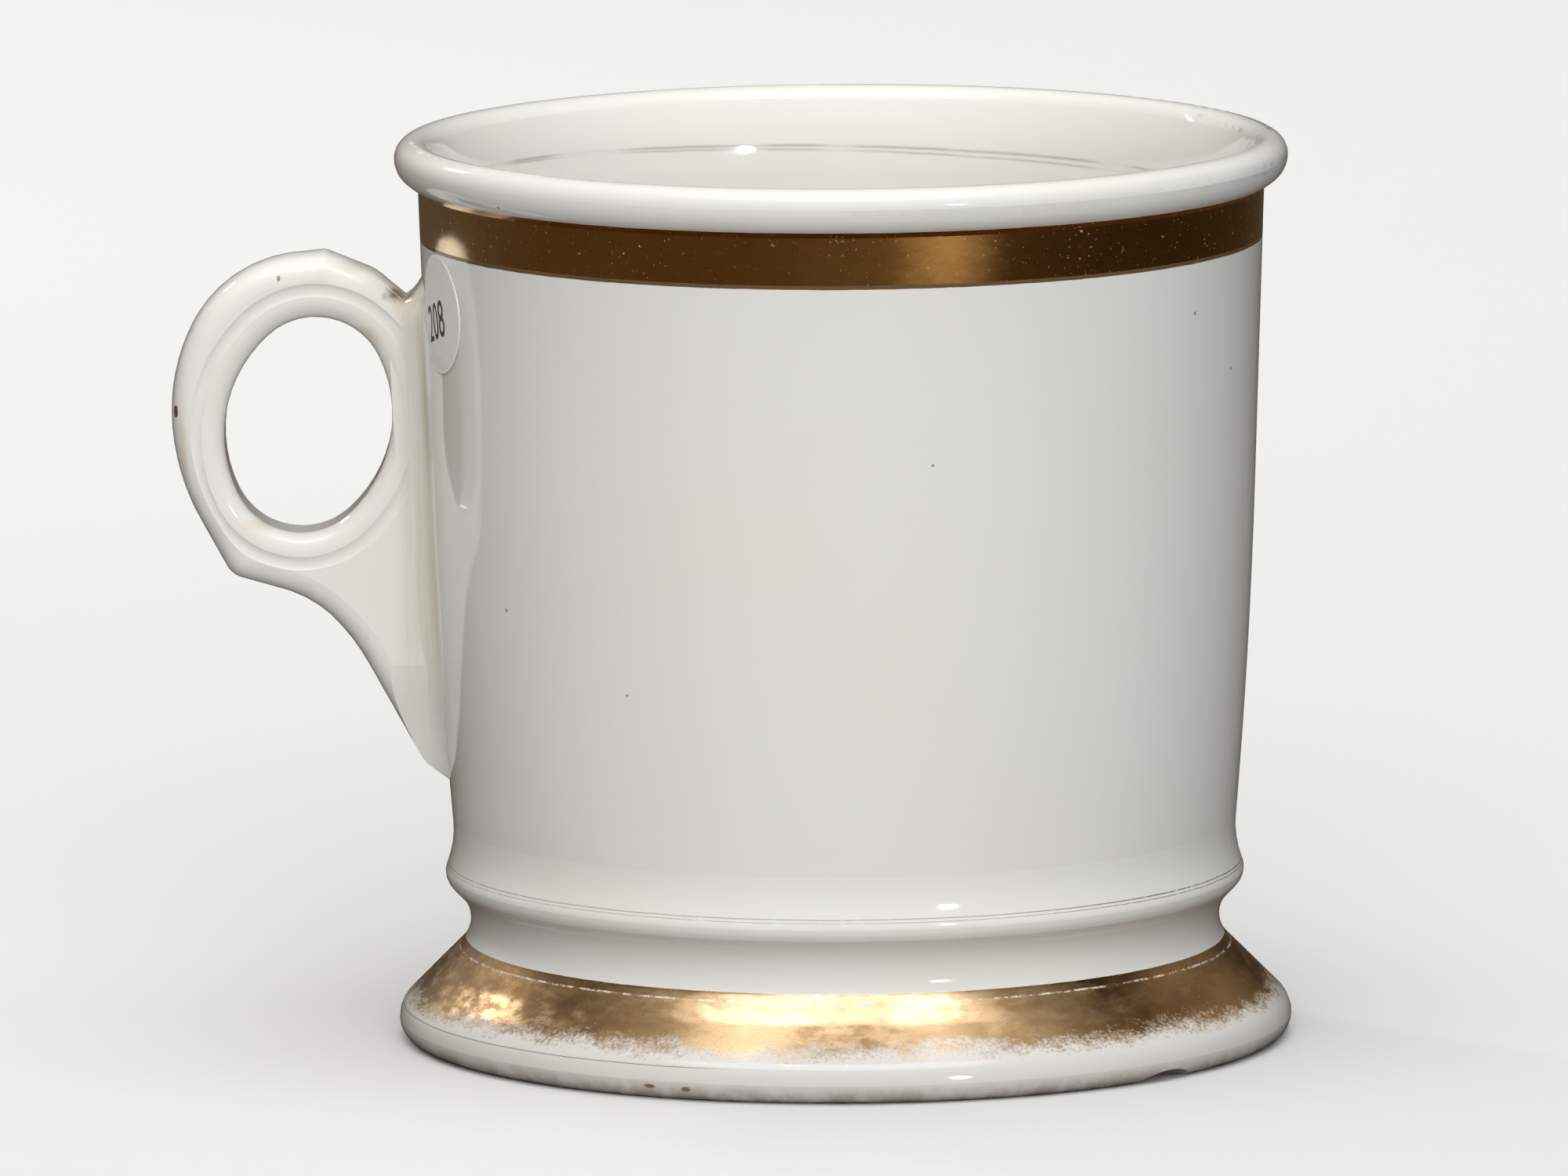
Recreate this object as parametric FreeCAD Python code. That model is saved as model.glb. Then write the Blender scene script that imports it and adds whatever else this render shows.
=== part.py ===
import FreeCAD, Part
import math
import os

# An old occupational shaving mug: one piece of glazed porcelain, with a paper sticker on its wall.
# Millimetres, +Z up. The cup is turned about Z and the handle reaches out to -X in the plane Y = 0.
# All is drawn round the cup's axis and moved at the end, so that the origin is under the middle
# of the whole mug, in the plane that it stands on.
# The rim leads: the wall, ring, foot and handle take their places from its radius and its height.

# Rolled rim, and the lip that falls from it to the inner wall. Corners are rounded afterwards.
rim_radius = 46.0
rim_top = 93.4
rim_overhang = 2.43
rim_depth = 3.4
rim_low_round = 2.7
rim_top_round = 1.95
lip_width = 3.5
lip_depth = 5.0
lip_round = 2.1
lip_foot_round = 18.5

# Wall: a steeper cone below, a steeper one above it, and a long soft bow between them
wall = 3.4
neck_drop = 5.1
bow_inset = 1.59
bow_height = 40.2
bow_round = 655.0
base_inset = 3.31
base_height = 20.13
base_round = 10.4

# Moulded ring and waist
ring_overhang = 1.01
ring_low_height = 16.48
ring_high_height = 17.52
ring_round = 1.7
waist_inset = 3.16
waist_height = 12.3
waist_round = 3.9

# Foot, hollow underneath
foot_spread = 9.05
foot_edge_round = 2.0
foot_shoulder_height = 3.24
foot_shoulder_round = 3.0
foot_lip_width = 4.25
foot_lip_round = 1.1
recess_inset = 9.15
recess_height = 6.4

# Inside of the cup
floor_height = 12.0
floor_round = 8.0

# Where the handle stands: its root's top under the rim, and its start inside the wall
root_drop = 16.4
handle_sink = 0.78
handle_start_drop = 2.85

# Handle's outline, walked clockwise in its own plane from inside the wall, over the finger ring,
# round the spur and down the web. Headings are in degrees above the outward direction. The outline
# is drawn again at a few shares of the arris's round, where it draws in towards the cheeks.
handle_half_thickness = 4.5
crown = 0.9
arris_round = 1.6
arris_shares = [0.0, 0.12, 0.45, 1.0]
least_round = 0.4
root_heading = 40.0
root_length = 8.0
shoulder_round = 5.5
shoulder_heading = 22.0
shoulder_length = 4.35
peak_round = 1.2
peak_heading = -6.0
peak_length = 2.95
ring_arc = 13.5
ring_arc_heading = -63.0
limb_upper_arc = 20.0
limb_middle_heading = -90.0
limb_lower_arc = 23.0
limb_heading = -118.7
limb_length = 5.6
spur_round = 2.6
spur_heading = -163.9
spur_length = 4.6
web_upper_arc = 11.5
web_upper_heading = -136.0
web_lower_arc = 20.0
web_heading = -118.8
web_length = 11.4
tip_round = 3.0
tip_heading = -143.0
tip_length = 5.0

# How many of the outline's last edges make the web's lower edge, from the spur to the tip
web_edge_count = 6

# The web thins towards its tip, as seen along the handle
taper_drop = 38.0
taper_round = 25.0
taper_spare = 0.25
tip_half_thickness = 0.5
tip_drop = 51.8
tip_corner_round = 0.4

# Finger hole: an oval of four arcs that leans with the limb, its edges rounded over,
# and a shallow groove that leaves a bead round it
hole_stand_off = 13.02
hole_drop = 12.95
hole_half_width = 8.55
hole_half_height = 11.28
hole_end_round = 7.2
hole_lean = 11.4
hole_edge_round = 1.9
groove_offset = 3.0
groove_round = 1.2
groove_depth = 0.22

# Root of the handle, where slip and glaze fill its corner with the wall. It is lofted through
# outlines that swell towards the wall and end a little inside it.
root_top_round = 2.2
root_clear = 0.12
root_middle_drop = 22.0
root_lean = 2.55
root_fillet = 3.7
root_sink = 0.25
root_under = 0.05
root_spread = 1.2
root_power = 3.0
root_outlines = 7
root_tip_share = 0.12
root_edge_inset = 0.3

# Chip in the foot's bottom edge
chip_angle = -44.0
chip_length = 6.2
chip_depth = 0.5
chip_lean = 78.0

# Paper sticker on the wall beside the handle
sticker_diameter = 12.2
sticker_thickness = 0.12
sticker_angle = -162.8
sticker_drop = 16.6

# Radii and heights that follow from the sizes above
neck_radius = rim_radius - rim_overhang
neck_height = rim_top - neck_drop
bow_radius = neck_radius - bow_inset
base_radius = neck_radius - base_inset
ring_radius = base_radius + ring_overhang
waist_radius = base_radius - waist_inset
foot_radius = waist_radius + foot_spread
upper_lean = bow_inset / (neck_height - bow_height)
lower_lean = (base_inset - bow_inset) / (bow_height - base_height)
root_top = rim_top - root_drop
root_reach = bow_radius + root_clear
hole_reach = bow_radius + hole_stand_off
hole_height = root_top - hole_drop
taper_height = root_top - taper_drop
tip_height = root_top - tip_drop


def unit(start, end):
    """The direction from one point to another, in the plane of a sketch."""
    span = math.hypot(end[0] - start[0], end[1] - start[1])
    return ((end[0] - start[0]) / span, (end[1] - start[1]) / span)


def rounded_outline(corners, place):
    """A closed wire through corners of (across, height, round); place puts a sketch point in space."""
    count = len(corners)
    pieces = []
    for i, (x, z, radius) in enumerate(corners):
        if radius == 0.0:
            pieces.append([place(x, z)])
            continue
        back = unit((x, z), corners[i - 1])
        ahead = unit((x, z), corners[(i + 1) % count])
        half = math.acos(back[0] * ahead[0] + back[1] * ahead[1]) / 2.0
        leg = radius / math.tan(half)
        middle = unit((0.0, 0.0), (back[0] + ahead[0], back[1] + ahead[1]))
        depth = radius / math.sin(half) - radius
        pieces.append([place(x + leg * back[0], z + leg * back[1]),
                       place(x + depth * middle[0], z + depth * middle[1]),
                       place(x + leg * ahead[0], z + leg * ahead[1])])
    edges = []
    for i, points in enumerate(pieces):
        if len(points) == 3:
            edges.append(Part.Arc(*points).toShape())
        edges.append(Part.LineSegment(points[-1], pieces[(i + 1) % count][0]).toShape())
    return Part.Wire(edges)


def in_section(x, z):
    """Places a sketch point in the half section of the turned cup."""
    return FreeCAD.Vector(x, 0.0, z)


def make_cup():
    """The turned body: foot, waist, ring, wall, rim and the open inside, as one revolved section."""
    lip_foot_radius = neck_radius - wall - upper_lean * (lip_depth - neck_drop)
    inner_base_radius = bow_radius - wall - lower_lean * (bow_height - floor_height)
    corners = [
        (foot_radius, 0.0, foot_edge_round),
        (foot_radius, foot_shoulder_height, foot_shoulder_round),
        (waist_radius, waist_height, waist_round),
        (ring_radius, ring_low_height, ring_round),
        (ring_radius, ring_high_height, ring_round),
        (base_radius, base_height, base_round),
        (bow_radius, bow_height, bow_round),
        (neck_radius, neck_height, 0.0),
        (rim_radius, rim_top - rim_depth, rim_low_round),
        (rim_radius, rim_top, rim_top_round),
        (rim_radius - lip_width, rim_top, lip_round),
        (lip_foot_radius, rim_top - lip_depth, lip_foot_round),
        (bow_radius - wall, bow_height, 0.0),
        (inner_base_radius, floor_height, floor_round),
        (0.0, floor_height, 0.0),
        (0.0, recess_height, 0.0),
        (foot_radius - recess_inset, recess_height, 0.0),
        (foot_radius - foot_lip_width, 0.0, foot_lip_round),
    ]
    section = Part.Face(rounded_outline(corners, in_section))
    return section.revolve(FreeCAD.Vector(0, 0, 0), FreeCAD.Vector(0, 0, 1), 360.0)


def handle_edges(inset, y):
    """The handle's outline as edges, drawn in by an inset, at a place across the handle's thickness."""
    steps = [
        (root_length, shoulder_round, shoulder_heading),
        (shoulder_length, peak_round, peak_heading),
        (peak_length, ring_arc, ring_arc_heading),
        (0.0, limb_upper_arc, limb_middle_heading),
        (0.0, limb_lower_arc, limb_heading),
        (limb_length, spur_round, spur_heading),
        (spur_length, web_upper_arc, web_upper_heading),
        (0.0, web_lower_arc, web_heading),
        (web_length, tip_round, tip_heading),
        (tip_length, 0.0, tip_heading),
    ]
    heading = root_heading
    inward = math.radians(heading - 90.0)
    reach = bow_radius - handle_sink + inset * math.cos(inward)
    height = root_top - handle_start_drop + inset * math.sin(inward)
    edges = []
    given_up = 0.0
    for length, radius, next_heading in steps:
        # A tight convex corner keeps a small round further in, and gives up some of both its sides.
        short = inset + least_round - radius if 0.0 < radius and next_heading < heading else 0.0
        corner = max(0.0, short) * math.tan(math.radians(abs(next_heading - heading) / 2.0))
        length -= given_up + corner
        given_up = corner
        if length > 0.0:
            along = math.radians(heading)
            start = FreeCAD.Vector(-reach, y, height)
            reach += length * math.cos(along)
            height += length * math.sin(along)
            edges.append(Part.LineSegment(start, FreeCAD.Vector(-reach, y, height)).toShape())
        if radius > 0.0:
            side = -90.0 if next_heading < heading else 90.0
            true_radius = max(radius - inset, least_round) if side < 0.0 else radius + inset
            to_centre = math.radians(heading + side)
            centre_reach = reach + true_radius * math.cos(to_centre)
            centre_height = height + true_radius * math.sin(to_centre)
            points = []
            for part_heading in (heading, (heading + next_heading) / 2.0, next_heading):
                outward = math.radians(part_heading - side)
                points.append(FreeCAD.Vector(-centre_reach - true_radius * math.cos(outward), y,
                                             centre_height + true_radius * math.sin(outward)))
            edges.append(Part.Arc(*points).toShape())
            reach = -points[-1].x
            height = points[-1].z
            heading = next_heading
    return edges


def handle_wire(y):
    """The closed outline at a place across the thickness: a shallow crown with a rounded arris."""
    past_arris = max(0.0, abs(y) - (handle_half_thickness - arris_round))
    rounding = arris_round - math.sqrt(max(0.0, arris_round ** 2 - past_arris ** 2))
    inset = crown * (y / handle_half_thickness) ** 2 + rounding
    edges = handle_edges(inset, y)
    first = edges[0].firstVertex().Point
    last = edges[-1].lastVertex().Point
    return Part.Wire(edges + [Part.LineSegment(last, first).toShape()])


def front_wire(top, swell, reach):
    """The handle's outline as seen along it, in the plane at a reach from the axis, swelled outward."""
    half = handle_half_thickness + swell
    tip_half = tip_half_thickness + swell * root_tip_share
    tip = tip_height - swell * root_tip_share
    right = [
        (half, top + swell, root_top_round + swell),
        (half, taper_height, taper_round),
        (tip_half, tip, tip_corner_round),
    ]
    left = [(-x, z, radius) for x, z, radius in reversed(right)]
    return rounded_outline(right + left, lambda y, z: FreeCAD.Vector(-reach, y, z))


def oval_arcs(grow):
    """The finger hole's four arcs as (centre, radius, first angle, last angle), parallel to its edge."""
    half_width = hole_half_width + grow
    half_height = hole_half_height + grow
    end_round = hole_end_round + grow
    side_round = (half_width ** 2 + half_height ** 2 - 2.0 * half_height * end_round)
    side_round /= 2.0 * (half_width - end_round)
    rise = half_height - end_round
    shift = side_round - half_width
    turn = math.degrees(math.atan2(rise, shift))
    return [
        (FreeCAD.Vector(0, 0, rise), end_round, turn, 180.0 - turn),
        (FreeCAD.Vector(shift, 0, 0), side_round, 180.0 - turn, 180.0 + turn),
        (FreeCAD.Vector(0, 0, -rise), end_round, 180.0 + turn, 360.0 - turn),
        (FreeCAD.Vector(-shift, 0, 0), side_round, 360.0 - turn, 360.0 + turn),
    ]


def on_arc(centre, radius, angle):
    """The point at an angle on an arc in the handle's plane."""
    turn = math.radians(angle)
    return centre + FreeCAD.Vector(radius * math.cos(turn), 0, radius * math.sin(turn))


def place_in_ring(shape, y):
    """Leans a shape drawn about the origin as the finger hole leans, and moves it into the hole."""
    shape.rotate(FreeCAD.Vector(0, 0, 0), FreeCAD.Vector(0, 1, 0), hole_lean)
    shape.translate(FreeCAD.Vector(-hole_reach, y, hole_height))
    return shape


def make_hole():
    """The finger hole as a solid that reaches through the handle."""
    edges = []
    for centre, radius, first, last in oval_arcs(0.0):
        points = [on_arc(centre, radius, angle) for angle in (first, (first + last) / 2.0, last)]
        edges.append(Part.Arc(*points).toShape())
    face = Part.Face(Part.Wire(edges))
    reach = 2.0 * handle_half_thickness
    return place_in_ring(face.extrude(FreeCAD.Vector(0, 2.0 * reach, 0)), -reach)


def make_groove(side):
    """The groove round the finger hole on one cheek: a round bar bent along the hole's arcs."""
    bars = []
    for centre, radius, first, last in oval_arcs(groove_offset):
        start = on_arc(centre, radius, first)
        along = FreeCAD.Vector(-math.sin(math.radians(first)), 0, math.cos(math.radians(first)))
        disc = Part.Face(Part.Wire(Part.Circle(start, along, groove_round).toShape()))
        bars.append(disc.revolve(centre, FreeCAD.Vector(0, -1, 0), last - first))
    y = side * (handle_half_thickness + groove_round - groove_depth)
    return place_in_ring(bars[0].fuse(bars[1:]), y)


def make_handle():
    """The handle: a plate with a crowned edge, thinned to the tip, with a rounded finger hole."""
    offsets = [handle_half_thickness - arris_round * share for share in arris_shares]
    places = [-y for y in offsets] + [0.0] + list(reversed(offsets))
    blank = Part.makeLoft([handle_wire(y) for y in places], True, False)
    front = Part.Face(front_wire(rim_top, taper_spare, 0.0))
    blank = blank.common(front.extrude(FreeCAD.Vector(-2.0 * hole_reach, 0, 0)))
    pierced = blank.cut(make_hole())
    bore = [face for face in pierced.Faces
            if isinstance(face.Surface, Part.Cylinder) and abs(face.Surface.Axis.y) > 0.5]
    rims = [edge for face in bore for edge in face.Edges if isinstance(edge.Curve, Part.Circle)]
    rounded = pierced.makeFillet(hole_edge_round, rims)
    return rounded.cut([make_groove(-1.0), make_groove(1.0)])


def make_root():
    """The flare that fills the corner between the handle and the wall, as a stack of outlines."""
    wires = []
    for i in range(root_outlines):
        far = (1.0 - i / (root_outlines - 1)) ** 2
        near = 1.0 - far
        swell = root_fillet * (root_spread * near ** root_power - root_under)
        reach = root_reach + root_fillet * (far * (1.0 + root_sink) - root_sink)
        wires.append(front_wire(root_top, swell, reach))
    flare = Part.makeLoft(wires, True, False)
    middle = FreeCAD.Vector(-root_reach, 0, root_top - root_middle_drop)
    flare.rotate(middle, FreeCAD.Vector(0, 1, 0), -root_lean)
    return flare.common(above_web())


def above_web():
    """The room over the web's lower edge, so that the root's flare runs out with the web."""
    y = -2.0 * handle_half_thickness
    lower = handle_edges(root_edge_inset, y)[-web_edge_count:]
    first = lower[0].firstVertex().Point
    last = lower[-1].lastVertex().Point
    corners = [last, FreeCAD.Vector(last.x, y, rim_top), FreeCAD.Vector(first.x, y, rim_top), first]
    sides = [Part.LineSegment(corners[i], corners[i + 1]).toShape() for i in range(3)]
    face = Part.Face(Part.Wire(lower + sides))
    return face.extrude(FreeCAD.Vector(0, -2.0 * y, 0))


def make_chip():
    """A ball that scoops a shallow chip out of the foot's rounded bottom edge."""
    ball = (chip_length ** 2 / 4.0 + chip_depth ** 2) / (2.0 * chip_depth)
    edge_radius = foot_radius - foot_edge_round * (1.0 - math.sqrt(0.5))
    edge_height = foot_edge_round * (1.0 - math.sqrt(0.5))
    lean = math.radians(chip_lean)
    radius = edge_radius + (ball - chip_depth) * math.cos(lean)
    height = edge_height - (ball - chip_depth) * math.sin(lean)
    turn = math.radians(chip_angle)
    return Part.makeSphere(ball, FreeCAD.Vector(radius * math.cos(turn), radius * math.sin(turn), height))


def make_sticker(body):
    """A round paper label that follows the wall and stops where the handle's root begins."""
    middle_height = rim_top - sticker_drop
    low = middle_height - sticker_diameter
    high = middle_height + sticker_diameter
    low_radius = neck_radius - upper_lean * (neck_height - low)
    high_radius = neck_radius - upper_lean * (neck_height - high)
    corners = [
        (low_radius, low, 0.0),
        (low_radius + sticker_thickness, low, 0.0),
        (high_radius + sticker_thickness, high, 0.0),
        (high_radius, high, 0.0),
    ]
    band = Part.Face(rounded_outline(corners, in_section))
    shell = band.revolve(FreeCAD.Vector(0, 0, 0), FreeCAD.Vector(0, 0, 1), 360.0)
    turn = math.radians(sticker_angle)
    outward = FreeCAD.Vector(math.cos(turn), math.sin(turn), 0)
    middle = FreeCAD.Vector(0, 0, middle_height)
    punch = Part.makeCylinder(sticker_diameter / 2.0, rim_radius + wall, middle, outward)
    return shell.common(punch).cut(body)


os.makedirs("parts", exist_ok=True)
mug = make_cup().fuse([make_handle(), make_root()]).cut(make_chip())
sticker = make_sticker(mug)
box = mug.optimalBoundingBox(False, False)
to_middle = FreeCAD.Vector(-(box.XMin + box.XMax) / 2.0, 0, 0)
print("the cup's axis is at x =", round(to_middle.x, 3))
for name, shape in (("mug", mug), ("paper_sticker", sticker)):
    print(name, "valid", shape.isValid(), "solids", len(shape.Solids), "volume", round(shape.Volume, 1))
    shape.translated(to_middle).exportStep("parts/" + name + ".step")
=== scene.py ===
# %% [markdown]
# # Occupational shaving mug
# A porcelain mug from a barber's rack: turned cup, rolled rim, spreading foot and a pierced side handle.
# The frame holds the measured solids, and this notebook gives them glaze, gilding, light and a camera.
# Pieces are placed in metres. Patterns on the cup are in millimetres from the cup's own axis, because a
# painter's line is a fraction of a millimetre wide and such numbers are easier to read.

# %% Load the frame
import math
import bpy
from mathutils import Matrix, Vector


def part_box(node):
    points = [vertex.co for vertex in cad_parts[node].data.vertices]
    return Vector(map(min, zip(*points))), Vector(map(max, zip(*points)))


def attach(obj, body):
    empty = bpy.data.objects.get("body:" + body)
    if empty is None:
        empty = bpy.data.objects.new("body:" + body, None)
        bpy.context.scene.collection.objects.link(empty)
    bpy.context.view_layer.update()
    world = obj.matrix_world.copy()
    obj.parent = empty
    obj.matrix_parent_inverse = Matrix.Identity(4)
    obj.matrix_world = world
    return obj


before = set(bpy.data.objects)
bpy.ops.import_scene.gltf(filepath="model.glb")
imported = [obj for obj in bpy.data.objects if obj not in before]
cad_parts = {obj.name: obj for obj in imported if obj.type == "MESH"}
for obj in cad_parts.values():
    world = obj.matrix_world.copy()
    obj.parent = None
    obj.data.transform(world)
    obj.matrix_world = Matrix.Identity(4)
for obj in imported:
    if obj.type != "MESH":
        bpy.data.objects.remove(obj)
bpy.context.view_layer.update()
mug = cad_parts["mug"]
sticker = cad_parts["paper_sticker"]
MM = 0.001
FOOT_RADIUS = 46.15 * MM
AXIS_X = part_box("mug")[1].x - FOOT_RADIUS
print("nodes", sorted(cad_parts), "axis at", round(AXIS_X, 5))

# %% [markdown]
# ## Shader helpers
# Every finish below is built from the same few moves: add a node, set or link its sockets, do sums.
# They could be written out each time, or drawn by hand in the shader editor. As small functions they keep
# each material short enough to read.

# %% Helpers: nodes and sums
def put(tree, kind, inputs=None, **settings):
    """Adds a shader node. Inputs may be plain values or the sockets that feed them."""
    node = tree.nodes.new(kind)
    for name, value in settings.items():
        setattr(node, name, value)
    feed(tree, node, inputs or {})
    return node


def feed(tree, node, inputs):
    """Sets or links a node's inputs."""
    for name, value in inputs.items():
        if isinstance(value, bpy.types.NodeSocket):
            tree.links.new(value, node.inputs[name])
        else:
            node.inputs[name].default_value = value


def calc(tree, operation, a, b=0.0, c=0.0, clamp=False):
    """A sum on one, two or three values."""
    return put(tree, "ShaderNodeMath", {0: a, 1: b, 2: c}, operation=operation, use_clamp=clamp).outputs[0]


def product(tree, first, *others):
    """Several values multiplied together."""
    for other in others:
        first = calc(tree, "MULTIPLY", first, other)
    return first


def vector_calc(tree, operation, a, b=(0.0, 0.0, 0.0), result="Vector"):
    """A sum on one or two vectors. The result is a vector, or a number where it is named Value."""
    return put(tree, "ShaderNodeVectorMath", {0: a, 1: b}, operation=operation).outputs[result]


def split(tree, vector):
    """The three parts of a vector."""
    return put(tree, "ShaderNodeSeparateXYZ", {0: vector}).outputs


print("sums ready")

# %% Helpers: ramps, noise and blends
def ramp(tree, value, low, high, to_low=0.0, to_high=1.0):
    """A smooth step of a value from one level to another."""
    inputs = {"Value": value, "From Min": low, "From Max": high, "To Min": to_low, "To Max": to_high}
    return put(tree, "ShaderNodeMapRange", inputs, interpolation_type="SMOOTHSTEP").outputs["Result"]


def noise(tree, vector, scale, detail=2.0, roughness=0.5):
    """Cloudy noise between 0 and 1."""
    inputs = {"Vector": vector, "Scale": scale, "Detail": detail, "Roughness": roughness}
    return put(tree, "ShaderNodeTexNoise", inputs).outputs[0]


def blend(tree, mask, under, over):
    """Goes from one number to another through a mask."""
    return put(tree, "ShaderNodeMix", {0: mask, 2: under, 3: over}).outputs[0]


def tint(tree, mask, under, over):
    """Lays one colour over another through a mask."""
    node = put(tree, "ShaderNodeMix", {0: mask}, data_type="RGBA")
    for place, value in ((6, under), (7, over)):
        is_socket = isinstance(value, bpy.types.NodeSocket)
        feed(tree, node, {place: value if is_socket else (*value, 1.0)})
    return node.outputs[2]


print("blends ready")

# %% Helpers: groups and materials
def new_group(name, inputs, outputs):
    """An empty shader group with named sockets. Returns the tree, its input and its output sockets."""
    tree = bpy.data.node_groups.new(name, "ShaderNodeTree")
    for socket_name, kind, value in inputs:
        socket = tree.interface.new_socket(
            name=socket_name, in_out="INPUT", socket_type="NodeSocket" + kind)
        if value is not None:
            socket.default_value = value
    for socket_name, kind in outputs:
        tree.interface.new_socket(name=socket_name, in_out="OUTPUT", socket_type="NodeSocket" + kind)
    start = tree.nodes.new("NodeGroupInput")
    end = tree.nodes.new("NodeGroupOutput")
    return tree, start.outputs, end.inputs


def use_group(tree, group, inputs):
    """Places a shader group in a tree and feeds it."""
    node = tree.nodes.new("ShaderNodeGroup")
    node.node_tree = group
    feed(tree, node, inputs)
    return node.outputs


def new_material(name):
    """An empty node material, its tree and the Object coordinates in it."""
    material = bpy.data.materials.new(name)
    material.use_nodes = True
    tree = material.node_tree
    tree.nodes.clear()
    return material, tree, put(tree, "ShaderNodeTexCoord").outputs["Object"]


def add_surface(tree, inputs):
    """Adds a material's one shader and its output."""
    shader = put(tree, "ShaderNodeBsdfPrincipled", inputs)
    put(tree, "ShaderNodeOutputMaterial", {"Surface": shader.outputs[0]})


def cover(piece, material):
    """Makes a material the only one on a piece."""
    piece.data.materials.clear()
    piece.data.materials.append(material)


print("groups and materials ready")

# %% [markdown]
# ## Where a point is on the cup
# Bands and lines on a turned pot follow its height and radius, because the painter held a brush still
# while the pot span. An unwrapped picture could hold them, but a seam would show. This group turns a
# position into those measures, in millimetres, so that every line closes on itself.

# %% Group: place on the cup
PLACE, given, made = new_group(
    "place_on_cup",
    [("Position", "Vector", None), ("Axis X", "Float", AXIS_X)],
    [("Millimetres", "Vector"), ("Height", "Float"), ("Radius", "Float")])
back_to_axis = calc(PLACE, "MULTIPLY", given["Axis X"], -1.0)
shift = put(PLACE, "ShaderNodeCombineXYZ", {0: back_to_axis}).outputs[0]
moved = vector_calc(PLACE, "ADD", given["Position"], shift)
in_mm = put(PLACE, "ShaderNodeVectorMath", {0: moved, "Scale": 1.0 / MM}, operation="SCALE").outputs[0]
flat = vector_calc(PLACE, "MULTIPLY", in_mm, (1.0, 1.0, 0.0))
PLACE.links.new(in_mm, made["Millimetres"])
PLACE.links.new(split(PLACE, in_mm)[2], made["Height"])
PLACE.links.new(vector_calc(PLACE, "LENGTH", flat, result="Value"), made["Radius"])
print("group", PLACE.name)

# %% [markdown]
# ## A painted band
# A band lies between two heights, and a hand painted it, so its edges waver a little. The height is
# shifted by slow noise before it is compared with the two limits, which bends both edges together.

# %% Group: band
BAND, given, made = new_group(
    "painted_band",
    [("Position", "Vector", None), ("Height", "Float", 0.0), ("Low", "Float", 0.0), ("High", "Float", 1.0),
     ("Waver", "Float", 0.1), ("Waver Scale", "Float", 0.2), ("Softness", "Float", 0.05)],
    [("Mask", "Float")])
wander = calc(BAND, "SUBTRACT", noise(BAND, given["Position"], given["Waver Scale"], 3.0, 0.6), 0.5)
level = calc(BAND, "MULTIPLY_ADD", wander, calc(BAND, "MULTIPLY", given["Waver"], 2.0), given["Height"])
rise = calc(BAND, "SUBTRACT", level, given["Low"])
fall = calc(BAND, "SUBTRACT", given["High"], level)
soft = calc(BAND, "DIVIDE", calc(BAND, "MINIMUM", rise, fall), given["Softness"], clamp=True)
BAND.links.new(soft, made["Mask"])
print("group", BAND.name)

# %% [markdown]
# ## Rubbed-away gilding
# Gold on a glaze wears off in ragged islands. One size of noise would look like round blobs, so a coarse
# and a fine one are added, and a threshold on their sum gives the islands their torn outline.

# %% Group: wear
WEAR, given, made = new_group(
    "rubbed_away",
    [("Position", "Vector", None), ("Scale", "Float", 0.3), ("Amount", "Float", 0.5),
     ("Softness", "Float", 0.06)],
    [("Mask", "Float")])
coarse = noise(WEAR, given["Position"], given["Scale"], 5.0, 0.62)
fine = noise(WEAR, given["Position"], calc(WEAR, "MULTIPLY", given["Scale"], 6.0), 4.0, 0.7)
both = calc(WEAR, "MULTIPLY_ADD", fine, 0.35, calc(WEAR, "MULTIPLY", coarse, 0.65))
over = calc(WEAR, "SUBTRACT", given["Amount"], both)
worn = calc(WEAR, "ADD", calc(WEAR, "DIVIDE", over, given["Softness"]), 0.5, clamp=True)
WEAR.links.new(worn, made["Mask"])
print("group", WEAR.name)

# %% [markdown]
# ## A soft spot
# Stains, specks and rubbed places are all a soft ellipsoid about one point, broken up by noise. They could
# be painted by hand, but measured places keep them where they are when the light or the view changes.

# %% Group: spot
SPOT, given, made = new_group(
    "soft_spot",
    [("Millimetres", "Vector", None), ("Centre", "Vector", (0.0, 0.0, 0.0)),
     ("Size", "Vector", (1.0, 1.0, 1.0)), ("Edge", "Float", 0.5), ("Break Up", "Float", 0.3),
     ("Break Scale", "Float", 0.6)],
    [("Mask", "Float")])
away = vector_calc(SPOT, "SUBTRACT", given["Millimetres"], given["Centre"])
far = vector_calc(SPOT, "LENGTH", vector_calc(SPOT, "DIVIDE", away, given["Size"]), result="Value")
cloud = calc(SPOT, "SUBTRACT", noise(SPOT, given["Millimetres"], given["Break Scale"], 3.0, 0.6), 0.5)
ragged = calc(SPOT, "MULTIPLY_ADD", cloud, given["Break Up"], far)
inside = calc(SPOT, "DIVIDE", calc(SPOT, "SUBTRACT", 1.0, ragged), given["Edge"], clamp=True)
SPOT.links.new(calc(SPOT, "SMOOTH_MIN", inside, 1.0, 0.2), made["Mask"])
print("group", SPOT.name)
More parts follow.
